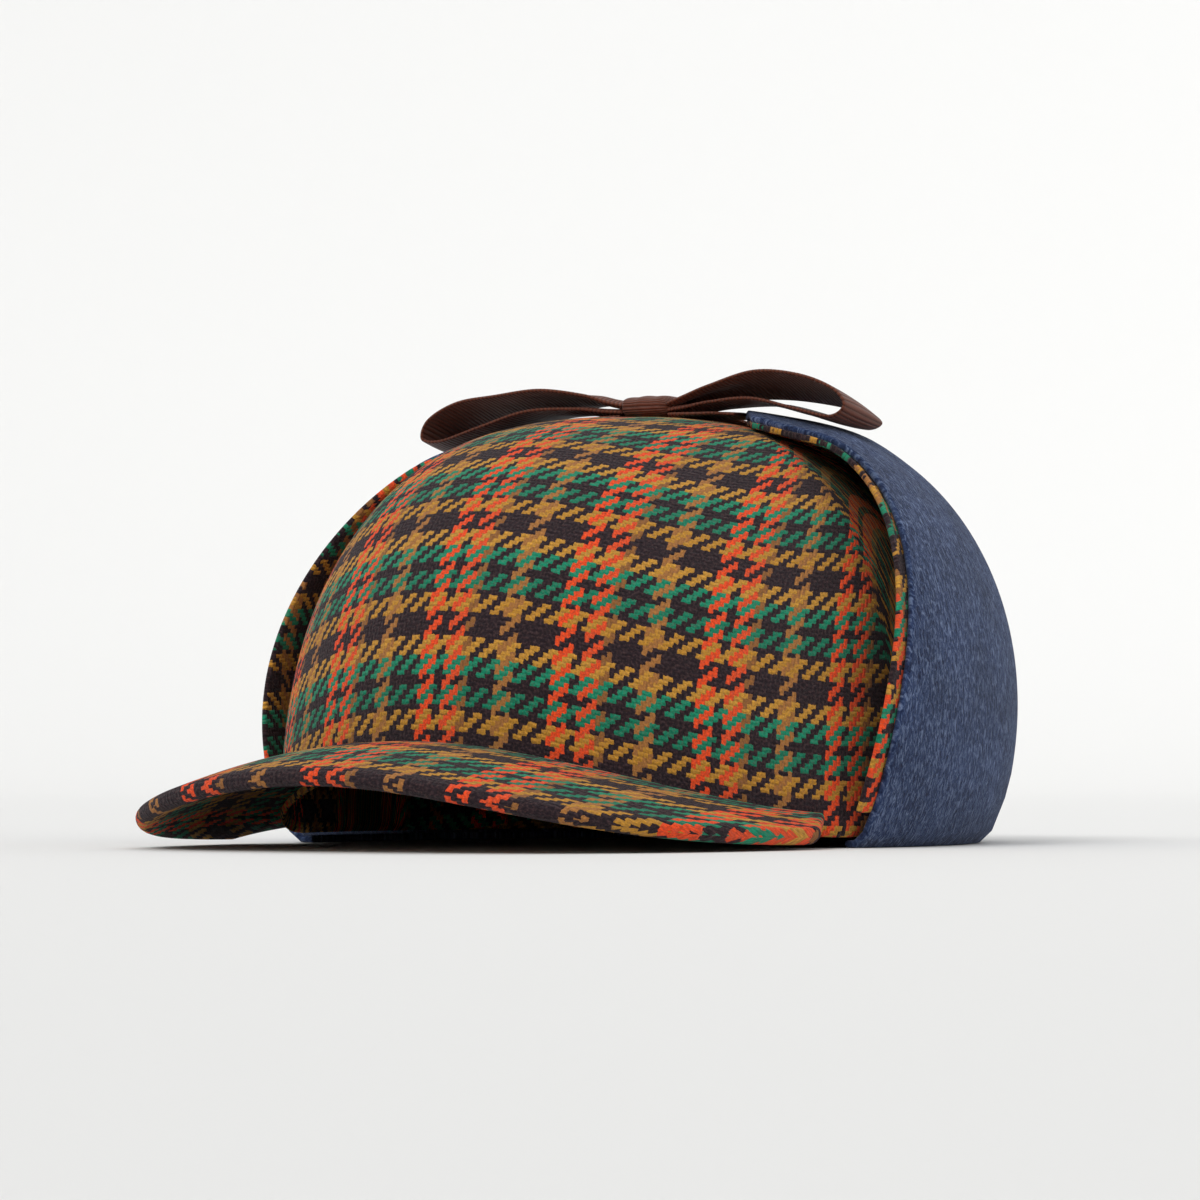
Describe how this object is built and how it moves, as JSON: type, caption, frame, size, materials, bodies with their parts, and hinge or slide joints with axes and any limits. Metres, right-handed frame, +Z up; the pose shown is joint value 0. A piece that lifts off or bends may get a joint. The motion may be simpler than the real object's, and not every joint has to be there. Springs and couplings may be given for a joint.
{
  "type": "deerstalker hat",
  "caption": "Deerstalker hat with a checked tweed crown and peak, wool ear flaps turned up and tied over the top with a grosgrain bow.",
  "frame": {"origin": "centre of the object's box on the surface it stands on", "axes": "+Z up, -Y the front with the peak, +X the wearer's left"},
  "size_m": [0.1886, 0.2676, 0.1202],
  "materials": {
    "tweed": "brushed checked wool tweed in dark brown, ochre, orange and green",
    "wool": "felted mid-blue melange wool",
    "ribbon": "ribbed brown grosgrain"
  },
  "bodies": {
    "root": {"crown": "tweed", "peak": "tweed", "ear_flap_cover_left": "wool", "ear_flap_cover_right": "wool", "ear_flap_facing_left": "tweed", "ear_flap_facing_right": "tweed", "ribbon_tie_left": "ribbon", "ribbon_tie_right": "ribbon", "bow_loop_left": "ribbon", "bow_loop_right": "ribbon", "bow_tail_left": "ribbon", "bow_tail_right": "ribbon", "bow_knot": "ribbon"}
  },
  "joints": []
}
